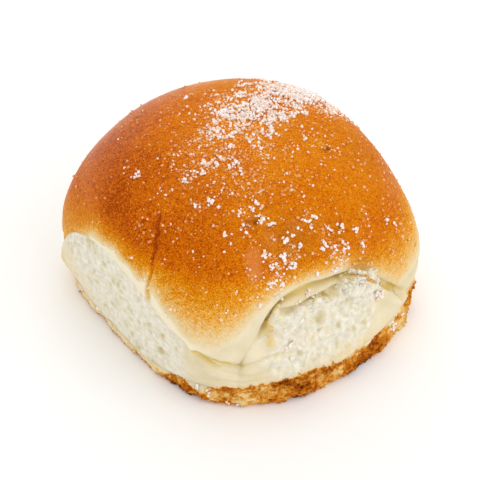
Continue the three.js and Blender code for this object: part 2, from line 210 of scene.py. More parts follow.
# Marks on the crust: plan x, y, radius, depth (minus stands out), raised rim, how much darker.
MARKS = (
    (20.7, 0.4, 1, -0.45, 0, -1.5), (22.6, -0.2, 0.75, 0.8, 0.12, 1),
    (21.5, -1.2, 0.9, 0.15, 0, 0.5), (2.4, -26, 0.8, 0.6, 0.05, 0.9),
    (3.9, -25.2, 0.9, 0.7, 0.1, 1), (5.2, -24.6, 0.7, 0.4, 0.05, 0.8),
    (-26, 14, 1, 0.3, 0.05, 0.3), (8, -14, 0.8, 0.25, 0.1, 0.2), (-14, 26, 1.2, 0.3, 0.1, 0.3),
    (-33.6, -20.7, 0.5, 0.1, 0, 0.9), (42.9, -11.6, 0.42, 0.1, 0, 0.9),
    (45.1, -9.6, 0.4, 0.1, 0, 0.9), (44.3, -12.4, 0.4, 0.1, 0, 0.9),
    (-39.7, -8.8, 0.45, 0.1, 0, 0.7), (-12.8, -12.9, 0.6, 0.2, 0, 0.9), (13, -28.5, 7, 0, 0, 0.32),
    (24, -24, 5, 0, 0, 0.2), (32, 5, 8, 0, 0, 0.14),
)
# Smooth places, less rough and given a painted sheen: plan x, y, reach across and along, how much.
SHEEN_PATCHES = ((3.7, -33.6, 1.9, 3, 0.75), (13.5, -25.5, 2, 1.6, 0.3), (7.5, -29, 2.2, 1.8, 0.3))

COLUMNS = 560  # facets around
FLOOR, FOOT, SIDE, RIM, DOME = 4, 16, 72, 12, 62  # rows of them: underside, foot and so on


# ---- shape, as in the solids
def turn(a):
    return (a + 540) % 360 - 180


def smooth(a, b, v):
    t = np.clip((v - a) / (b - a), 0, 1)
    return t * t * (3 - 2 * t)


def bell(v):
    return np.exp(-v ** 2)


def around(values, az):
    """Eight values blended smoothly from each to the next, 45 degrees apart."""
    total = np.zeros_like(az)
    for i in range(8):
        a = turn(az - (SIDE_AZ - 45 * i))
        total += np.where(np.abs(a) < 45, 0.5 * (1 + np.cos(4 * a * RAD)), 0) * values[i]
    return total


def corners(values, az):
    """Four corner values, front, left, back, right, blended straight between them."""
    total = np.zeros_like(az)
    weight = np.zeros_like(az)
    for i in range(4):
        w = np.maximum(0, 1 - np.abs(turn(az - (SIDE_AZ - 45 - 90 * i))) / 90)
        total += w * values[i]
        weight += w
    return total / weight


def ring(table, column, az):
    """A column of a table by azimuth, straight between its rows and all the way round."""
    return np.interp(az, [row[0] for row in table], [row[column] for row in table], period=360)


def outline(sides, corner, swell, az, fill=1.0):
    total = corner ** -SQUARE + np.zeros_like(az)
    for i in range(4):
        c = np.cos(turn(az - (SIDE_AZ - 90 * i)) * RAD)
        total = total + np.where(c > 0, (np.maximum(c, 0) / sides[i]) ** SQUARE, 0)
    r = total ** (-1 / SQUARE)
    for i in range(8):
        a = turn(az - (SIDE_AZ - 45 * i))
        r = r + fill * swell[i] * bell(a / SWELL_SPREAD)
    return r


def rises(az):
    """How far into a torn side each azimuth is, 0 at its ends to 1, and the edge's height."""
    low = corners(VALLEY, az)
    high = low.copy()
    torn = np.zeros_like(az)
    for i in range(4):
        a = (turn(az - (SIDE_AZ - 90 * i)) - ARCH_SHIFT[i]) / ARCH_HALF[i]
        inside = np.maximum(0, 1 - a * a)
        rise = (1 + ARCH_EASE) * inside ** (ARCH_POWER + 1) / (inside + ARCH_EASE)
        high = np.maximum(high, low + (ARCH[i] - low) * rise)
        torn = np.maximum(torn, rise)
    for at, wide, up in SLANTS:
        high = high + up * bell(turn(az - at) / wide)
    return torn, high


def uneven(x, y, z, s):
    """Smooth unevenness of about the size s, -1 to 1, the same as in the solid."""
    a = np.sin(1.7 * x / s + 1.3 * np.sin(1.1 * y / s + 2))
    b = np.sin(1.9 * y / s + 1.7 * np.sin(1.3 * z / s))
    c = np.sin(2.1 * z / s + 1.5 * np.sin(1.2 * x / s + 4))
    return (a + b + c) / 3


def tears(az, up):
    out = np.zeros(np.broadcast(az, up).shape)
    for at, wide, mid, tall, far in TEARS:
        out = out + far * np.exp(-((turn(az - at) / wide) ** 2) - ((up - mid) / tall) ** 2)
    return out


def dome(az, t):
    free = WIDE_CORNER * np.maximum(np.cos(t), 1e-4) ** DOME_R
    lift = np.sin(t) ** DOME_Z
    r = outline(WIDE, free, WIDE_SWELL, az, np.cos(t))
    return r, CORNER_HIGH + (HEIGHT - CORNER_HIGH) * lift, lift


# ---- seeded noise in space
def lattice(i, j, k, seed):
    h = (i * 374761393 + j * 668265263 + k * 1440662683 + seed * 974634777) & 0xFFFFFFFF
    h = ((h ^ (h >> 13)) * 1274126177) & 0xFFFFFFFF
    h = ((h ^ (h >> 15)) * 2246822519) & 0xFFFFFFFF
    return ((h ^ (h >> 16)) & 0xFFFF) / 32767.5 - 1


def noise(p, size, seed):
    """Smooth noise at the points, -1 to 1, with lumps of that size in mm."""
    q = p / size + 500
    base = np.floor(q).astype(np.int64)
    f = q - base
    x, y, z = base[..., 0], base[..., 1], base[..., 2]
    u = f * f * f * (f * (f * 6 - 15) + 10)
    total = 0
    for i, j, k in np.ndindex(2, 2, 2):
        w = (u[..., 0] if i else 1 - u[..., 0]) * (u[..., 1] if j else 1 - u[..., 1])
        w = w * (u[..., 2] if k else 1 - u[..., 2])
        total = total + w * lattice(x + i, y + j, z + k, seed)
    return total


def layered(p, size, octaves, seed):
    """The same with finer noise added, each layer half the size of the last."""
    total, gain, norm = 0, 1.0, 0
    for o in range(octaves):
        total = total + gain * noise(p, size / 2 ** o, seed + o)
        norm += gain
        gain *= 0.55
    return total / norm


# ---- the body's grid
az = np.arange(COLUMNS) / COLUMNS * 360.0
cos, sin = np.cos(az * RAD), np.sin(az * RAD)
base = outline(BASE, BASE_CORNER, BASE_SWELL, az)
rise, edge = rises(az)
widest_at = np.maximum(CORNER_HIGH, edge + ROLL)
first = np.arcsin(((widest_at - CORNER_HIGH) / (HEIGHT - CORNER_HIGH)) ** (1 / DOME_Z))
wide, widest, sway = dome(az, first)
foot = around(FOOT_HIGH, az)
proud = around(FOOT_PROUD, az)
gap_at, gap_spread, gap_share = LIP_GAP
lip = around(LIP, az) * (1 - gap_share * bell(turn(az - gap_at) / gap_spread))
under = wide - lip
belly = around(BELLY, az)
ragged = around(RAGGED, az)
start = base - proud

UNDER, ON_FOOT, ON_SIDE, ON_RIM, ON_DOME = range(5)
rows = []  # radius, height, sway, part of the bun, way along it
for i in range(1, FLOOR + 1):
    rows.append(((base - FOOT_ROUND) * (i / (FLOOR + 1)), 0 * az, 0 * az, UNDER, i / FLOOR))
for i in range(FOOT + 1):
    t = i / FOOT * math.pi
    z = foot / 2 * (1 - math.cos(t))
    r = base - FOOT_ROUND + FOOT_ROUND * math.sin(t)
    if i:
        r = r + FOOT_CRAG * uneven(base * cos, base * sin, z, FOOT_CRAG_SIZE)
    rows.append((r, z, 0 * az, ON_FOOT, i / FOOT))
for i in range(1, SIDE + 1):
    t = i / SIDE
    z = foot + (edge - foot) * t
    r = start + (under - start) * t + belly * math.sin(math.pi * t) + tears(az, t)
    r = r + ragged * uneven(r * cos, r * sin, z, RAGGED_SIZE) * math.sin(math.pi * (0.12 + 0.83 * t))
    rows.append((r, z, 0 * az, ON_SIDE, t))
for i in range(1, RIM + 1):
    t = i / RIM * math.pi / 2
    z = edge + (widest - edge) * (1 - math.cos(t))
    rows.append((under + (wide - under) * math.sin(t), z, sway * math.sin(t), ON_RIM, i / RIM))
for i in range(1, DOME + 1):
    t = first + (math.pi / 2 - first) * (i / (DOME + 1))
    r, z, lift = dome(az, t)
    r = r + DOME_WAVE * uneven(r * cos, r * sin, z, DOME_WAVE_SIZE) * np.cos(t)
    rows.append((r, z, lift, ON_DOME, i / DOME))

R, Z, S = (np.array([row[i] for row in rows]) for i in range(3))
PART, ALONG = (np.array([row[i] for row in rows])[:, None] + np.zeros_like(R) for i in (3, 4))
AZ = az[None] + np.zeros_like(R)
X, Y = R * cos + CROWN[0] * S + SHIFT[0], R * sin + CROWN[1] * S + SHIFT[1]
points = np.stack([X, Y, Z], -1)


def grid_normals(p):
    du = np.roll(p, -1, 1) - np.roll(p, 1, 1)
    dv = np.gradient(p, axis=0)
    n = np.cross(du, dv)
    return n / np.maximum(np.linalg.norm(n, axis=-1, keepdims=True), 1e-12)


normals = grid_normals(points)
is_under = PART == UNDER
is_foot = PART == ON_FOOT
is_side = PART == ON_SIDE
is_rim = PART == ON_RIM
is_dome = PART >= ON_RIM

# ---- masks, 0 to 1
# The last number of each noise or layered call is its seed.
fray = layered(points, 3.0, 3, 11)
right_side = smooth(45, 40, np.abs(turn(AZ - SIDE_AZ)))
crumb_top = ring(CRUMB_TOP, 1, az) + 0.8 * fray + 0.8 * layered(points, 1.5, 2, 13)
hidden = smooth(90, 85, np.abs(turn(AZ - HIDDEN_AZ)))
up_the_arch = rise + (0.16 + 0.1 * hidden) * fray
torn = np.where(is_side, smooth(0.12 - 0.08 * hidden, 0.6 - 0.22 * hidden, up_the_arch), 0)
climb = smooth(0.35 + 0.25 * hidden, 0.1 + 0.25 * hidden, ALONG + 0.55 * fray)
climb *= smooth(0.3, 0.5, rise + 0.12 * fray)
torn = np.where(is_rim, climb, torn)
mass = smooth(-0.35, 0.3, crumb_top - Z)
left_side = smooth(45, 35, np.abs(turn(AZ - LEFT_AZ)))
torn = np.where(right_side > 0, torn * mass, torn)
torn *= smooth(1.0 + 1.5 * right_side, 3.5 + 3 * right_side, Z + 1.5 * fray)
blend = layered(points, 5.5, 3, 12)
left_end = smooth(271.5, 278.5, AZ + 6 * blend + 0.25 * (Z - 26))
crumb_end = np.interp(Z, *zip(*CRUMB_END))
right_end = smooth(1.5, -1.5, AZ - crumb_end + 4 * blend)
torn *= 1 - right_side * (1 - left_end * right_end)
inside_side = np.where(is_rim, 0.6, np.sin(np.pi * np.clip(ALONG, 0, 1)) ** 0.35)

# ---- relief along the normal, mm
relief = np.zeros_like(R)
# crust: slow swelling, faint orange peel and a little puckering where it thins
relief += np.where(is_dome, 0.22 * noise(points, 13, 21) + 0.035 * layered(points, 1.6, 2, 22), 0)
skin_low = smooth(34, 24, Z) * is_dome
stretch = points * np.array([1, 1, 0.35])
relief += skin_low * 0.16 * layered(stretch, 2.4, 3, 23)
rim_fray = layered(points, 3.4, 3, 27) * smooth(1, 0.3, ALONG)
relief += np.where(is_rim, (0.15 + 0.4 * hidden) * rim_fray, 0)
# smooth dough below the crust at the corners
sag = layered(points * np.array([1, 1, 1.6]), 3.6, 3, 24)
relief += np.where(is_side, (1 - torn) * 0.16 * sag, 0)
# torn crumb: tufts, then fluff; the right side's stands out in one ragged mass
tufts = layered(points * np.array([1, 1, 0.8]), 4.6, 3, 31)
billow = np.abs(noise(points, 2.6, 33)) + 0.55 * np.abs(noise(points, 1.3, 34)) - 0.45
fluff = layered(points, 1.1, 2, 32)
roughness = np.clip(ragged / 0.8, 0.3, 1.1) * (0.55 + 0.45 * right_side)
crumb_relief = roughness * (0.9 * tufts + 0.75 * billow) + 0.12 * fluff
relief += torn * inside_side * (1 + 0.2 * right_side) * crumb_relief
brow = bell((crumb_top - Z - 1.5) / 3.2) * (1 + 0.6 * blend)
relief += right_side * torn * (0.45 + 1.5 * brow)


def along_crease(path):
    """Distance in mm to a path of azimuths and heights, and how far along it, 0 to 1."""
    best = np.full(R.shape, 99.0)
    where = np.zeros(R.shape)
    legs = len(path) - 1
    for i in range(legs):
        (a0, z0), (a1, z1) = path[i], path[i + 1]
        x, y = turn(AZ - a0) * RAD * R, Z - z0
        dx, dy = (a1 - a0) * RAD * R, z1 - z0
        t = np.clip((x * dx + y * dy) / (dx * dx + dy * dy), 0, 1)
        d = np.hypot(x - t * dx, y - t * dy)
        where = np.where(d < best, (i + t) / legs, where)
        best = np.minimum(best, d)
    return best, where


# painted shade along the creases, and browning at some of them
crease_shade = np.zeros_like(R)
side_bake = 0.07 * smooth(24, 8, Z) * bell(turn(AZ - 178) / 12) * (1 + fray)
side_bake = np.maximum(side_bake, 0.05 * smooth(13, 8, Z + 1.5 * fray) * (1 - left_side))
near_side = is_side | is_rim
for half, depth, tint, brown, *path in CREASES:
    d, where = along_crease(path)
    d = d * (1 + 0.3 * fray)
    taper = np.sin(np.pi * np.clip(where * 0.92 + 0.04, 0, 1)) ** 0.4
    uneven_by = 1 + (0.9 * billow + 0.5 * fluff if depth < 0 and not tint else 0)
    reach = near_side if depth > 0 else np.where(is_side, smooth(1.0, 0.95, ALONG), 0)
    relief -= reach * depth * taper * bell(d / half) * uneven_by
    near = np.where(near_side, taper * bell(d / (half * 1.15)), 0)
    crease_shade = np.maximum(crease_shade, np.minimum(tint * near, 1))
    side_bake = np.maximum(side_bake, brown * near)
# ragged baked foot
ridge_at = ring(FOOT_BROWN, 1, az) + 0.9 * layered(points, 3.6, 2, 43)
on_foot = smooth(0.45, -0.35, Z - ridge_at)
foot_relief = 0.5 * layered(points, 2.6, 3, 41) + 0.42 * np.abs(layered(points, 1.3, 3, 42)) - 0.1
relief += np.where(is_side | (is_foot & (ALONG > 0.02)), on_foot, 0) * foot_relief * np.where(
    is_foot, smooth(0.0, 0.25, ALONG), 1)
relief += np.where(is_side, 0.3 * on_foot, 0)



def column_at(a):
    return int(round((a % 360) / 360 * COLUMNS)) % COLUMNS


def cells_around(row, col, away, low, high):
    """The grid cells up to 8 columns and so many rows away, kept between two rows."""
    near_rows = np.arange(max(low, row - away), min(high, row + away + 1))
    return np.ix_(near_rows, np.arange(col - 8, col + 9) % COLUMNS)


# crumb holes: taller than wide, scattered over every torn side
pore = np.zeros_like(R)
first_side = FLOOR + FOOT + 1
hole_rng = np.random.default_rng(HOLE_SEED)
holes = [(a, z, across, across * 1.15, 0.0, across * share) for a, z, across, share in HOLES]
for side, (count, size) in enumerate(HOLES_A_SIDE):
    for _ in range(count):
        a = SIDE_AZ - 90 * side + hole_rng.uniform(-38, 38)
        across = size * (0.3 + 0.75 * hole_rng.random() ** 2.2)
        holes.append((
            a, hole_rng.uniform(3, 33), across,
            across * hole_rng.uniform(1.1, 1.9), hole_rng.uniform(-0.35, 0.35),
            across * hole_rng.uniform(0.2, 0.45)))
for a, z, across, tall, lean, deep in holes:
    col = column_at(a)
    if rise[col] < 0.3 or not foot[col] < z < edge[col] - 0.5:
        continue
    row = first_side + int(np.argmin(np.abs(Z[first_side:first_side + SIDE, col] - z)))
    spot = cells_around(row, col, 12, first_side, first_side + SIDE)
    d = points[spot] - points[row, col]
    along = d @ np.array([-sin[col], cos[col], 0])
    height = d[..., 2]
    q = ((along - lean * height) / across) ** 2 + (height / tall) ** 2
    dent = np.maximum(0, 1 - q) ** 1.5
    relief[spot] -= deep * dent * torn[spot]
    relief[spot] += 0.1 * bell((q - 1.3) / 0.5) * torn[spot] * across
    pore[spot] = np.maximum(pore[spot], np.maximum(0, 1 - q * 0.8) * min(1, across / 0.65))
# where the holes are, later darkened with a painted shade
pore *= torn

# marks and smooth places on the crust
mark = np.zeros_like(R)
gloss_and_painted_sheen = np.zeros_like(R)
for x, y, size, deep, rim, darker in MARKS:
    apart = np.where(is_dome, (X - x) ** 2 + (Y - y) ** 2, 1e6)
    centre = points.reshape(-1, 3)[np.argmin(apart)]
    d = np.linalg.norm(points - centre, axis=-1) / size
    d = d * (1 + 0.25 * noise(points, 1.1, 51))
    near = is_dome & (Z > 20)
    relief += np.where(near, -deep * bell(d * 1.3) + rim * bell((d - 1.5) / 0.45), 0)
    spot = np.where(near, darker * bell(d * 1.1), 0)
    mark = np.where(np.abs(spot) > np.abs(mark), spot, mark)
for x, y, across, along, much in SHEEN_PATCHES:
    d = ((X - x) / across) ** 2 + ((Y - y) / along) ** 2
    gloss_and_painted_sheen = np.maximum(gloss_and_painted_sheen, np.where(is_dome, much * smooth(1.8, 0.2, d + 0.7 * fray), 0))
# a shallow fold running down the left of the crust, one lip of it raised
fold_x = np.interp(Y, *zip(*FOLD))
from_fold = X - fold_x - 0.25 * np.sin(Y * 1.9)
fold_ends = smooth(-36.5, -34, Y) * smooth(-19.5, -23, Y) * is_dome
fold = bell(from_fold / 0.42) * fold_ends
relief += 0.14 * bell((from_fold - 1.0) / 0.6) * fold_ends - 0.45 * fold

body_points = points + relief[..., None] * normals
body_points[..., 2] = np.maximum(body_points[..., 2], 0)
body_points[:FLOOR + 1, :, 2] = 0
body_normals = grid_normals(body_points)

# ---- browning, 0 raw to 1 dark
brown_from, golden_at, brown_at = (ring(BROWNING, i, az) for i in (1, 2, 3))
patchy = layered(points, 9, 3, 61)
height = Z + 1.1 * patchy + 0.4 * fray
bake = 0.5 * np.clip((height - brown_from) / (golden_at - brown_from), 0, 1)
bake += 0.2 * smooth(0, 1, (height - golden_at) / (brown_at - golden_at))
# darker towards the left, and in a band low on the left of the crust
left_dark = smooth(4, -30, X + 0.35 * Y)
band = np.exp(-((Z - 44.5) / 4.0) ** 2 - (turn(AZ - 195) / 26) ** 2)
over = smooth(0, 1.6, (height - golden_at) / (brown_at - golden_at))
bake += over * (0.175 * left_dark + 0.08 * band - 0.06 + 0.06 * patchy)
# the marks' lighter spots, and the fold drawn darker along its groove
bake += 0.22 * np.minimum(mark, 0) + (0.34 + 0.25 * fray) * fold
bake = np.where(is_dome, np.clip(bake, 0, 1), 0)
bake = np.maximum(bake, np.where(is_side, side_bake, 0))

# foot: browned from the tray, along its ridge and its bottom edge, in grains and patches
foot_patch = layered(points * np.array([1, 1, 1.5]), 3.2, 4, 71)
f_ridge, f_middle, f_bottom = (ring(FOOT_BROWN, i, az) for i in (2, 3, 4))
up_ridge = bell(Z - ridge_at + 0.8)
foot_brown = f_middle + (f_ridge - f_middle) * up_ridge
foot_brown = foot_brown + (f_bottom - foot_brown) * smooth(1.8, 0.3, Z + 0.5 * fray)
foot_brown = foot_brown + 0.45 * foot_patch * smooth(0, 0.3, foot_brown)
foot_brown = np.clip(foot_brown, 0, 1) * on_foot
foot_brown = np.where(is_under, 0.72 + 0.2 * foot_patch, foot_brown)

# painted shade: yellow-olive where the crust hangs over the dough, and along the creases
over_lip = np.where(is_side, smooth(0.93, 1.0, ALONG), 0)
over_lip += np.where(is_rim, smooth(0.6, 0.0, ALONG), 0)
over_lip = over_lip * smooth(0.9, 2.6, lip)
deep = np.clip(np.maximum(over_lip, crease_shade), 0, 1) * smooth(0.6, 0.1, foot_brown)


def sugar_density(x, y, z):
    """Crystals a square millimetre."""
    d = 0.06 + 0.46 * np.exp(-(((x + 1) / 23) ** 2 + ((y + 8) / 22) ** 2))
    d = d * (0.3 + 0.7 * smooth(-36, -14, x)) * smooth(24, 33, z)
    for dx, dy, wide_by, amount in SUGAR_DRIFTS:
        d = d + amount * np.exp(-(((x - dx) ** 2 + (y - dy) ** 2) / wide_by ** 2))
    return d


dust = np.where(is_dome, smooth(0.1, 1.6, sugar_density(X, Y, Z)), 0)


def new_object(name, data):
    obj = bpy.data.objects.new(name, data)
    bpy.context.scene.collection.objects.link(obj)
    return obj


def new_mesh(name, vertices, faces, attributes=None, flat=False):
    """An object with a mesh: corners in mm, faces, and a value for each corner by name."""
    mesh = bpy.data.meshes.new(name)
    vertices = np.asarray(vertices, dtype=np.float64) * MM
    mesh.from_pydata(vertices.tolist(), [], faces)
    mesh.polygons.foreach_set("use_smooth", [not flat] * len(mesh.polygons))
    for key, values in (attributes or {}).items():
        layer = mesh.attributes.new(key, "FLOAT", "POINT")
        layer.data.foreach_set("value", np.asarray(values, dtype=np.float32).ravel())
    mesh.update()
    return new_object(name, mesh)


count_rows = len(rows)
vertices = np.concatenate([
    [[SHIFT[0], SHIFT[1], 0]],
    body_points.reshape(-1, 3),
    [[CROWN[0] + SHIFT[0], CROWN[1] + SHIFT[1], HEIGHT + 0.1]],
])
top = len(vertices) - 1
c0 = np.arange(COLUMNS)
c1 = (c0 + 1) % COLUMNS
faces = np.stack([np.zeros(COLUMNS, int), 1 + c1, 1 + c0], 1).tolist()
for i in range(count_rows - 1):
    a, b = 1 + i * COLUMNS, 1 + (i + 1) * COLUMNS
    faces += np.stack([a + c0, a + c1, b + c1, b + c0], 1).tolist()
a = 1 + (count_rows - 1) * COLUMNS
faces += np.stack([a + c0, a + c1, np.full(COLUMNS, top)], 1).tolist()


def per_vertex(grid):
    return np.concatenate([[grid[0].mean()], grid.ravel(), [grid[-1].mean()]])


# skin smooth enough to shine at a low angle, at the far left and the right
haze = smooth(17, 27, 0.6 * Y - 0.8 * X) + smooth(34, 42, X)
haze = np.where(is_dome, haze * smooth(36, 40.5, Z), 0)
body_values = {
    "bake": bake, "torn": torn, "pore": pore, "foot": foot_brown, "deep": deep,
    "mark": np.maximum(mark, 0), "base": on_foot, "gloss_and_painted_sheen": gloss_and_painted_sheen, "dust": dust,
    "lip": np.where(is_dome, left_side, 0), "haze": haze,
}
bun = new_mesh("bun_body", vertices, faces, {key: per_vertex(v) for key, v in body_values.items()})
dome_first = FLOOR + FOOT + 1 + SIDE + RIM


# ---- shreds of crumb, baked grains
grid = body_points[:dome_first]
grid_up = body_normals[:dome_first]


def cell_areas(g):
    return np.linalg.norm(np.cross(np.roll(g, -1, 1)[:-1] - g[:-1], g[1:] - g[:-1]), axis=-1)


def scatter(where, normals_at, area, weight, number):
    """Random places on part of the grid, more where weight is more: points, normals, cells."""
    prob = (area * weight).ravel()
    pick = rng.choice(len(prob), size=number, p=prob / prob.sum())
    row, col = np.unravel_index(pick, area.shape)
    nxt = (col + 1) % COLUMNS
    u, v = rng.random((2, number))
    p = (where[row, col] * ((1 - u) * (1 - v))[:, None] + where[row, nxt] * (u * (1 - v))[:, None]
         + where[row + 1, nxt] * (u * v)[:, None] + where[row + 1, col] * ((1 - u) * v)[:, None])
    return p, normals_at[row, col], (row, col)


def spin(number):
    """Random rotation matrices."""
    q = rng.normal(size=(number, 4))
    q /= np.linalg.norm(q, axis=1, keepdims=True)
    w, x, y, z = q.T
    return np.stack([
        np.stack([1 - 2 * (y * y + z * z), 2 * (x * y - z * w), 2 * (x * z + y * w)], -1),
        np.stack([2 * (x * y + z * w), 1 - 2 * (x * x + z * z), 2 * (y * z - x * w)], -1),
        np.stack([2 * (x * z - y * w), 2 * (y * z + x * w), 1 - 2 * (x * x + y * y)], -1)], -2)


def strewn(shapes, faces, centres, up, lift):
    """Turn each shape at random and set it down, on or above z = 0: vertices, faces."""
    n, each = shapes.shape[:2]
    shapes = np.einsum("nij,nkj->nki", spin(n), shapes)
    at = centres + up * lift[:, None]
    at[:, 2] = np.maximum(at[:, 2], -shapes[..., 2].min(1))
    all_faces = faces[None] + each * np.arange(n)[:, None, None]
    return (shapes + at[:, None]).reshape(-1, 3), all_faces.reshape(-1, faces.shape[1]).tolist()


GOLD = (1 + 5 ** 0.5) / 2
BALL = np.array([np.roll((i, j * GOLD, 0), k) for k in range(3) for j in (1, -1) for i in (-1, 1)])
BALL = BALL / np.linalg.norm(BALL[0])
BALL_FACES = np.array([
    (0, 11, 5), (0, 5, 1), (0, 1, 7), (0, 7, 10), (0, 10, 11), (1, 5, 9), (5, 11, 4), (11, 10, 2),
    (10, 7, 6), (7, 1, 8), (3, 9, 4), (3, 4, 2), (3, 2, 6), (3, 6, 8), (3, 8, 9), (4, 9, 5),
    (2, 4, 11), (6, 2, 10), (8, 6, 7), (9, 8, 1)])


def blobs(centres, up, radii, sunk):
    """Soft uneven lumps: centres, surface normals, radii and share sunk."""
    n = len(centres)
    shape = BALL * (1 + rng.uniform(-0.4, 0.4, (n, len(BALL), 1)))
    shape = shape * rng.uniform(0.35, 1.25, (n, 1, 3))
    return strewn(shape * radii[:, None, None], BALL_FACES, centres, up, radii * (1 - 2 * sunk))


inner = slice(0, dome_first - 1)
near_top = bell((crumb_top - Z - 1.0) / 2.2) * right_side
shred_weight = torn * (1 - pore) * (0.2 - 0.17 * left_side + 1.8 * near_top)
shred_weight = (shred_weight * smooth(0.0, 0.5, 0.25 + fray))[inner]
cell = cell_areas(grid)
shred_at, shred_up, shred_cell = scatter(grid, grid_up, cell, shred_weight, SHREDS)
shred_size = 0.26 + 0.45 * rng.random(SHREDS) ** 2 * (0.6 + 0.9 * right_side[shred_cell])
grain_weight = (np.where(is_under, 0.0, on_foot) * (0.15 + foot_brown))[inner]
grain_at, grain_up, grain_cell = scatter(grid, grid_up, cell, grain_weight, GRAINS)
grain_size = 0.22 + 0.4 * rng.random(GRAINS) ** 1.8
flap_along = np.concatenate([np.linspace(0, 1, FLAP_CRUST), rng.random(FLAP_CRUMB)])
flap_steps = np.linspace(0, 1, len(FLAP))
flap_az, flap_r, flap_z = (np.interp(flap_along, flap_steps, column) for column in zip(*FLAP))
flap_cos, flap_sin = np.cos(flap_az * RAD), np.sin(flap_az * RAD)
flap_at = np.stack([SHIFT[0] + flap_r * flap_cos, SHIFT[1] + flap_r * flap_sin, flap_z], -1)
flap_at += rng.normal(size=flap_at.shape) * 0.06
flap_out = np.stack([0.5 * flap_cos, 0.5 * flap_sin, 0.35 + 0 * flap_z], -1)
flap_at[:FLAP_CRUST] += flap_out[:FLAP_CRUST]
flap_at[FLAP_CRUST:, 2] += 0.5 + 0.9 * rng.random(FLAP_CRUMB)
flap_up = np.stack([0.7 * flap_cos, 0.7 * flap_sin, 0.7 + 0 * flap_z], -1)
flap_size = np.concatenate([rng.uniform(0.32, 0.48, FLAP_CRUST), rng.uniform(0.25, 0.6, FLAP_CRUMB)])
flap_own = {
    "bake": np.repeat([0.29, 0.0], [FLAP_CRUST, FLAP_CRUMB]),
    "torn": np.repeat([0.0, 1.0], [FLAP_CRUST, FLAP_CRUMB]),
}
verts, tris = blobs(
    np.concatenate([shred_at, grain_at, flap_at]), np.concatenate([shred_up, grain_up, flap_up]),
    np.concatenate([shred_size, grain_size, flap_size]),
    np.concatenate([
        rng.uniform(0.66, 0.88, SHREDS), rng.uniform(0.4, 0.7, GRAINS),
        np.full(FLAP_CRUST, 0.25), rng.uniform(0.5, 0.75, FLAP_CRUMB)]))
rows_of = np.concatenate([shred_cell[0], grain_cell[0]])
cols_of = np.concatenate([shred_cell[1], grain_cell[1]])
lump_values = {}
for key, grid_of in body_values.items():
    own = flap_own.get(key, np.zeros(FLAP_CRUST + FLAP_CRUMB))
    lump_values[key] = np.repeat(np.concatenate([grid_of[rows_of, cols_of], own]), len(BALL))
crumbs = new_mesh("crumb_shreds", verts, tris, lump_values)


# ---- sugar
def plan_lumps():
    """The same lumps, by the same rule, as are fused to the solid."""
    state, wrap = [LUMP_SEED], 2 ** 31 - 1

    def draw():
        state[0] = state[0] * 16807 % wrap
        return state[0] / wrap

    found = []
    for n in range(LUMPS):
        size = LUMP_LARGE + (LUMP_SMALL - LUMP_LARGE) * math.sqrt(n / LUMPS)
        for _ in range(60):
            pick = draw()
            drift = DRIFTS[0]
            for drift in DRIFTS:
                pick -= drift[3]
                if pick < 0:
                    break
            reach = drift[2] * math.sqrt(draw())
            angle = 2 * math.pi * draw()
            x = drift[0] + reach * math.cos(angle)
            y = drift[1] + reach * math.sin(angle)
            apart = all(math.hypot(q[0] - x, q[1] - y) > (q[2] + size) * 0.95 for q in found)
            if apart and on_dome(x, y)[0][2] > LUMP_LOWEST:
                found.append((x, y, size))
                break
    return found


dome_grid = body_points[dome_first:]
dome_normals = body_normals[dome_first:]
flat_points = dome_grid.reshape(-1, 3)
flat_normals = dome_normals.reshape(-1, 3)


def on_dome(x, y):
    k = int(np.argmin((flat_points[:, 0] - x) ** 2 + (flat_points[:, 1] - y) ** 2))
    return flat_points[k], flat_normals[k]


CUBE = np.array([[i, j, k] for i in (-1, 1) for j in (-1, 1) for k in (-1, 1)], float) / 2
CUBE_FACES = np.array(
    [[0, 1, 3, 2], [4, 6, 7, 5], [0, 4, 5, 1], [2, 3, 7, 6], [0, 2, 6, 4], [1, 5, 7, 3]])


def crystals(centres, up, sizes, sunk):
    """Rough little blocks: centres, surface normals, edge lengths, share sunk."""
    n = len(centres)
    shape = CUBE * (1 + rng.uniform(-0.22, 0.22, (n, len(CUBE), 3)))
    shape = shape * sizes[:, None, None] * rng.uniform(0.72, 1.25, (n, 1, 3))
    return strewn(shape, CUBE_FACES, centres, up, sizes * (0.5 - sunk))


quad = cell_areas(dome_grid)
g = dome_grid[:-1]
density = sugar_density(g[..., 0], g[..., 1], g[..., 2])
density = density * (0.35 + 1.3 * smooth(-0.3, 0.4, layered(g, 2.4, 2, 81)))
total = int((density * quad).sum())
loose, loose_up, _ = scatter(dome_grid, dome_normals, quad, density, total)
loose_size = 0.26 + 0.34 * rng.random(total) ** 1.4
piled = smooth(2.2, 4.5, sugar_density(loose[:, 0], loose[:, 1], loose[:, 2]))
stack = piled * rng.random(total) * 0.35
loose = loose + loose_up * stack[:, None]

heap_points, heap_up, heap_size = [], [], []
for x, y, size in plan_lumps():
    p, up = on_dome(x, y)
    bare = sum(math.exp(-((x - bx) ** 2 + (y - by) ** 2) / reach ** 2) for bx, by, reach in BARE)
    many = int((3 + 5.5 * size ** 2) * max(0.2, 1 - bare))
    along = np.cross(up, [0.3, 0.9, 0.1])
    along /= np.linalg.norm(along)
    across = np.cross(up, along)
    spread = rng.normal(size=(many, 2)) * np.array([0.75, 0.45]) * size
    rotate = rng.uniform(0, 2 * math.pi)
    c, s = math.cos(rotate), math.sin(rotate)
    spread = spread @ np.array([[c, -s], [s, c]])
    reach = np.hypot(spread[:, 0], spread[:, 1]) / size
    lift = np.clip(0.5 - 0.6 * reach, 0, 1) * size * rng.random(many)
    heap_points.append(p + spread[:, :1] * along + spread[:, 1:] * across + lift[:, None] * up)
    heap_up.append(np.repeat(up[None], many, 0))
    heap_size.append(rng.uniform(0.34, 0.66, many))
crown_rows = len(rows) - 20  # strays lie below these
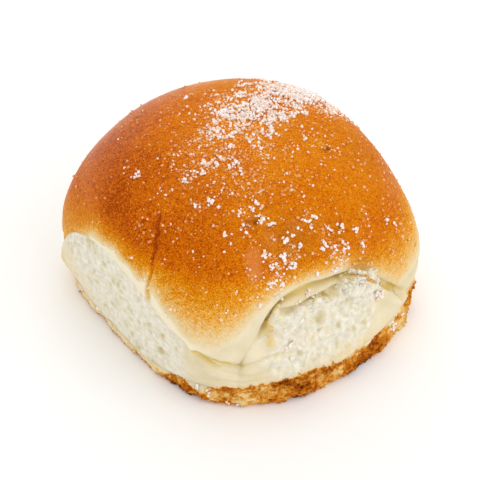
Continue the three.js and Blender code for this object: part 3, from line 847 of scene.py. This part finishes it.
for a, z, reach, many in STRAYS:
    col = column_at(a)
    row = FLOOR + int(np.argmin(np.abs(body_points[FLOOR:crown_rows, col, 2] - z)))
    spot = cells_around(row, col, 10, FLOOR, len(rows))
    cells, ups = body_points[spot].reshape(-1, 3), body_normals[spot].reshape(-1, 3)
    close = bell(np.linalg.norm(cells - body_points[row, col], axis=1) / reach)
    pick = rng.choice(len(cells), size=many, p=close / close.sum())
    heap_points.append(cells[pick] + ups[pick] * rng.uniform(0, 0.35 * reach, (many, 1)))
    heap_up.append(ups[pick])
    heap_size.append(rng.uniform(0.36, 0.68, many))
heap_points, heap_up, heap_size = map(np.concatenate, (heap_points, heap_up, heap_size))

all_points = np.concatenate([loose, heap_points])
all_up = np.concatenate([loose_up, heap_up])
all_size = np.concatenate([loose_size, heap_size])
sunk = rng.uniform(0.05, 0.3, len(all_size))
sunk[:len(loose)] += 0.22 * (1 - piled)
verts, quads = crystals(all_points, all_up, all_size, sunk)
in_drift = smooth(0.5, 2.5, sugar_density(loose[:, 0], loose[:, 1], loose[:, 2]))
loose_white = rng.random(len(loose)) ** (2.2 - 0.9 * in_drift) * 0.75 + 0.42 * in_drift
whiteness = np.concatenate([np.clip(loose_white, 0, 1), 0.6 + 0.4 * rng.random(len(heap_points))])
flat_bake = bake[dome_first:].ravel()
nearest = [int(np.argmin(((flat_points - p) ** 2).sum(1))) for p in all_points]
sugar_values = {"white": whiteness, "bake": flat_bake[nearest]}
sugar = new_mesh("sugar", verts, quads, {
    key: np.repeat(values, len(CUBE)) for key, values in sugar_values.items()}, flat=True)


# ---- materials
def srgb(r, g, b):
    """A colour seen as these 8-bit values."""
    linear = [((c / 255 + 0.055) / 1.055) ** 2.4 if c > 10.3 else c / 255 / 12.92 for c in (r, g, b)]
    return (*linear, 1)


def tones(*rows):
    """A ramp's stops: place, then the colour there."""
    return [(at, srgb(*rgb)) for at, *rgb in rows]


def grey(value):
    return (value, value, value, 1)


CRUST_BY_BAKE = tones(
    (0.0, 229, 217, 187), (0.12, 228, 203, 153), (0.25, 228, 178, 97), (0.38, 225, 154, 44),
    (0.5, 214, 131, 4), (0.62, 210, 116, 1), (0.72, 204, 105, 1), (0.85, 185, 83, 1),
    (1.0, 153, 58, 1))
FOOT_BY_BAKE = tones(
    (0.0, 236, 221, 182), (0.22, 232, 197, 128), (0.42, 218, 155, 60), (0.6, 194, 114, 22),
    (0.78, 158, 78, 10), (1.0, 92, 38, 10))
CRUMB = tones((0.28, 212, 204, 181), (0.5, 226, 220, 204), (0.72, 239, 236, 227))
DOUGH = tones((0.3, 216, 203, 167), (0.7, 230, 219, 190))
CLEAR_SUGAR = tones(
    (0.0, 238, 228, 206), (0.3, 238, 196, 128), (0.55, 230, 160, 80), (0.9, 216, 136, 70))
WHITE_SUGAR = tones((0.3, 242, 206, 176), (0.6, 246, 222, 206), (1.0, 253, 247, 246))
FLECK, DUST, PAINTED_SHEEN, SCORCH = (
    srgb(240, 168, 48), srgb(246, 190, 118), srgb(222, 138, 84), srgb(112, 46, 14))
WARM_CRUMB, HOLE_SHADE, SHRED_PAINTED_LIGHT = srgb(224, 212, 164), srgb(204, 190, 140), srgb(251, 246, 230)
PALE_LIP, SHADED = srgb(239, 228, 200), srgb(218, 188, 86)


class Nodes:
    """A material, and short ways to write its nodes."""

    def __init__(self, name):
        self.material = bpy.data.materials.new(name)
        self.material.use_nodes = True
        self.tree = self.material.node_tree
        self.tree.nodes.clear()
        out = self.new("OutputMaterial")
        self.shader = self.new("BsdfPrincipled")
        self.set(out.inputs[0], self.shader.outputs[0])
        self.place = self.new("TexCoord").outputs["Object"]

    def set(self, socket, value):
        if isinstance(value, bpy.types.NodeSocket):
            self.tree.links.new(value, socket)
        else:
            socket.default_value = value

    def fill(self, node, values):
        for key, value in values.items():
            self.set(node.inputs[key], value)

    def new(self, kind, values=None, **settings):
        node = self.tree.nodes.new("ShaderNode" + kind)
        for key, value in settings.items():
            setattr(node, key, value)
        self.fill(node, values or {})
        return node

    def surface(self, values):
        """Set or link the shader's own sockets, and hand over the material."""
        self.fill(self.shader, values)
        return self.material

    def attribute(self, name):
        return self.new("Attribute", attribute_name=name).outputs["Fac"]

    def noise(self, scale, detail, rough):
        return self.new("TexNoise", {
            "Vector": self.place, "Scale": scale, "Detail": detail, "Roughness": rough,
        }).outputs["Fac"]

    def math(self, kind, a, b, clamp=False):
        return self.new("Math", {0: a, 1: b}, operation=kind, use_clamp=clamp).outputs[0]

    def times(self, a, b):
        return self.math("MULTIPLY", a, b)

    def spread(self, value, low, high, to_low=0.0, to_high=1.0):
        """The value's range from low to high, drawn out to another."""
        return self.new("MapRange", {
            "Value": value, "From Min": low, "From Max": high, "To Min": to_low, "To Max": to_high,
        }).outputs["Result"]

    def ramp(self, value, stops):
        node = self.new("ValToRGB", {"Fac": value})
        while len(node.color_ramp.elements) < len(stops):
            node.color_ramp.elements.new(0.5)
        for e, (at, colour) in zip(node.color_ramp.elements, stops):
            e.position, e.color = at, colour
        return node.outputs["Color"]

    def mix(self, factor, a, b, blend="MIX"):
        values = {0: factor, 6: a, 7: b}
        return self.new("Mix", values, data_type="RGBA", blend_type=blend).outputs[2]

    def bump(self, height, strength, distance, **normal):
        return self.new("Bump", {
            "Height": height, "Strength": strength, "Distance": distance, **normal,
        }).outputs["Normal"]


def bread(name, softness):
    """Crust, dough, crumb and baked foot, told apart by the mesh's own values."""
    m = Nodes(name)
    bake_in = m.attribute("bake")
    mottle = m.noise(900, 3.0, 0.55)
    speckle, blotch = m.noise(2600, 2.0, 0.6), m.noise(95, 3.0, 0.5)
    wobble = 0.0
    for layer, amount in ((speckle, 0.95), (mottle, 0.55), (blotch, 0.22)):
        wobble = m.math("ADD", wobble, m.times(m.math("SUBTRACT", layer, 0.5), amount))
    wobble = m.math("MAXIMUM", wobble, -0.15)
    strength = m.spread(bake_in, 0.02, 0.4, 0.15, 1.0)
    baked = m.math("ADD", bake_in, m.times(wobble, strength), clamp=True)
    crust = m.ramp(baked, CRUST_BY_BAKE)
    grain = m.ramp(m.noise(3400, 2.0, 0.65), ((0.3, grey(0.62)), (0.7, grey(1.26))))
    crust = m.mix(strength, crust, m.mix(1.0, crust, grain, "MULTIPLY"))
    light_fleck = m.spread(m.noise(2100, 1.0, 0.4), 0.62, 0.74)
    light_fleck = m.times(light_fleck, m.times(strength, 0.5))
    crust = m.mix(light_fleck, crust, FLECK)
    fine_sugar = m.spread(m.noise(2500, 0.5, 0.4), 0.56, 0.68)
    fine_sugar = m.times(fine_sugar, m.times(m.attribute("dust"), 0.75))
    crust = m.mix(fine_sugar, crust, DUST)
    # painted sheen: a lighter pinkish colour on the smooth places
    crust = m.mix(m.times(m.attribute("gloss_and_painted_sheen"), 0.5), crust, PAINTED_SHEEN)
    crust = m.mix(m.times(m.attribute("mark"), 0.85), crust, SCORCH)

    crumb = m.ramp(m.noise(700, 3.0, 0.6), CRUMB)
    warm = m.spread(m.noise(330, 3.0, 0.6), 0.45, 0.7)
    crumb = m.mix(m.times(warm, 0.4), crumb, WARM_CRUMB)
    # painted shade: the crumb's holes darker and olive where they go in
    crumb = m.mix(m.times(m.attribute("pore"), 0.72), crumb, HOLE_SHADE)
    # painted light: the loose crumb's colour is lightened to offset the shade it lies in
    if not softness:
        crumb = m.mix(0.55, crumb, SHRED_PAINTED_LIGHT)
    dough = m.mix(m.attribute("lip"), m.ramp(m.noise(160, 3.0, 0.55), DOUGH), PALE_LIP)
    lower = m.mix(m.attribute("torn"), dough, crumb)

    above = m.mix(m.spread(bake_in, 0.0, 0.05), lower, crust)
    # painted shade: yellow-olive mixed in under the hanging crust and along the creases
    above = m.mix(m.times(m.attribute("deep"), 0.9), above, SHADED)

    foot_in = m.attribute("foot")
    grit = m.times(m.math("SUBTRACT", m.noise(900, 3.0, 0.65), 0.45), 1.3)
    grit = m.times(grit, m.spread(foot_in, 0.0, 0.3, 0.2, 1.0))
    foot_value = m.math("ADD", foot_in, grit, clamp=True)
    on_foot = m.math("MAXIMUM", m.attribute("base"), m.spread(foot_in, 0.1, 0.4))
    colour = m.mix(on_foot, above, m.ramp(foot_value, FOOT_BY_BAKE))

    matte = m.math("MAXIMUM", m.attribute("torn"), m.attribute("base"))
    rough = m.spread(matte, 0.0, 1.0, 0.46, 0.86)
    pale_rough = m.spread(bake_in, 0.0, 0.4, 0.16, 0.0)
    rough = m.math("ADD", rough, pale_rough)
    rough = m.math("ADD", rough, m.times(m.math("SUBTRACT", mottle, 0.5), 0.12), clamp=True)
    rough = m.math("SUBTRACT", rough, m.times(m.attribute("gloss_and_painted_sheen"), 0.12), clamp=True)

    skin = m.bump(m.noise(1300, 3.0, 0.6), m.spread(matte, 0.0, 1.0, 0.28, 0.0), 0.00012)
    crumbly = m.spread(matte, 0.0, 1.0, 0.0, 0.45)
    fine = m.bump(m.noise(1500, 3.0, 0.65), crumbly, 0.00035, Normal=skin)
    return m.surface({
        "Base Color": colour, "Roughness": rough, "Normal": fine, "Specular IOR Level": 0.03,
        "Coat Weight": m.times(m.attribute("haze"), 0.45), "Coat Roughness": 0.3, "Coat IOR": 1.25,
        "Sheen Weight": 0.11, "Sheen Roughness": 0.24, "Sheen Tint": (1.0, 0.9, 0.84, 1),
        "Subsurface Weight": m.spread(m.attribute("torn"), 0.0, 1.0, 0.1 * softness, softness),
        "Subsurface Radius": (1.0, 0.8, 0.55), "Subsurface Scale": 0.0018,
    })


def sugar_crystal():
    """Clear grains take the crust's colour; the more broken are white."""
    m = Nodes("sugar_crystal")
    clear = m.ramp(m.attribute("bake"), CLEAR_SUGAR)
    white = m.ramp(m.attribute("white"), WHITE_SUGAR)
    return m.surface({
        "Base Color": m.mix(m.spread(m.attribute("white"), 0.15, 0.6), clear, white),
        "Roughness": 0.28, "Specular IOR Level": 0.6, "Subsurface Weight": 0.25,
        "Subsurface Radius": (1.0, 0.9, 0.85), "Subsurface Scale": 0.0006,
    })


bun.data.materials.append(bread("bread", 0.6))
crumbs.data.materials.append(bread("loose_crumb", 0.0))
sugar.data.materials.append(sugar_crystal())

for piece in (bun, crumbs, sugar):
    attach(piece, "root")
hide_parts("bun")

# ---- floor, light, camera
FLOOR_HALF = 3000  # mm
ground_obj = new_mesh("floor", [
    (x * FLOOR_HALF, y * FLOOR_HALF, 0) for x, y in ((-1, -1), (1, -1), (1, 1), (-1, 1))],
    [(0, 1, 2, 3)])
ground_obj.data.materials.append(Nodes("pale_floor").surface({
    "Base Color": grey(0.95), "Roughness": 0.9, "Specular IOR Level": 0.1}))

world = bpy.data.worlds.new("studio")
world.use_nodes = True
sky = world.node_tree.nodes["Background"]
sky.inputs["Color"].default_value = (1.0, 0.99, 0.975, 1)
sky.inputs["Strength"].default_value = 0.98
scene = bpy.context.scene
scene.world = world
scene.view_settings.view_transform = "Standard"
AIM = Vector((0, 0, 0.020))  # metres, here and below


def stand(name, data, at, facing):
    """Put a light or the camera somewhere, facing along a direction."""
    obj = new_object(name, data)
    obj.location = at
    obj.rotation_mode = "QUATERNION"
    obj.rotation_quaternion = facing.to_track_quat("-Z", "Y")
    return obj


def softbox(name, at, size, power, colour=(1, 1, 1)):
    light = bpy.data.lights.new(name, "AREA")
    light.shape = "RECTANGLE"
    light.size, light.size_y = size
    light.energy = power
    light.color = colour
    stand(name, light, at, AIM - Vector(at))


softbox("key", (0.40, -0.30, 0.50), (0.5, 0.5), 0.95, (1.0, 0.985, 0.96))
softbox("back", (-0.15, 0.65, 0.45), (0.8, 0.4), 1.2)

ELEVATION = 46.0
DISTANCE = 0.520
PICTURE, SENSOR = 480, 36  # pixels and mm across
PIXELS_A_MM = 3.8408  # in the picture, at the aim
AIM_AT = (238.12, 231.03)  # the aim's pixel
camera = bpy.data.cameras.new("camera")
camera.sensor_width = SENSOR
camera.lens = PIXELS_A_MM * DISTANCE / MM / PICTURE * SENSOR
camera.shift_x = (PICTURE / 2 - AIM_AT[0]) / PICTURE
camera.shift_y = -(PICTURE / 2 - AIM_AT[1]) / PICTURE
camera.clip_start, camera.clip_end = 0.01, 20
back = Vector((0, -math.cos(ELEVATION * RAD), math.sin(ELEVATION * RAD)))
scene.camera = stand("camera", camera, AIM + back * DISTANCE, -back)
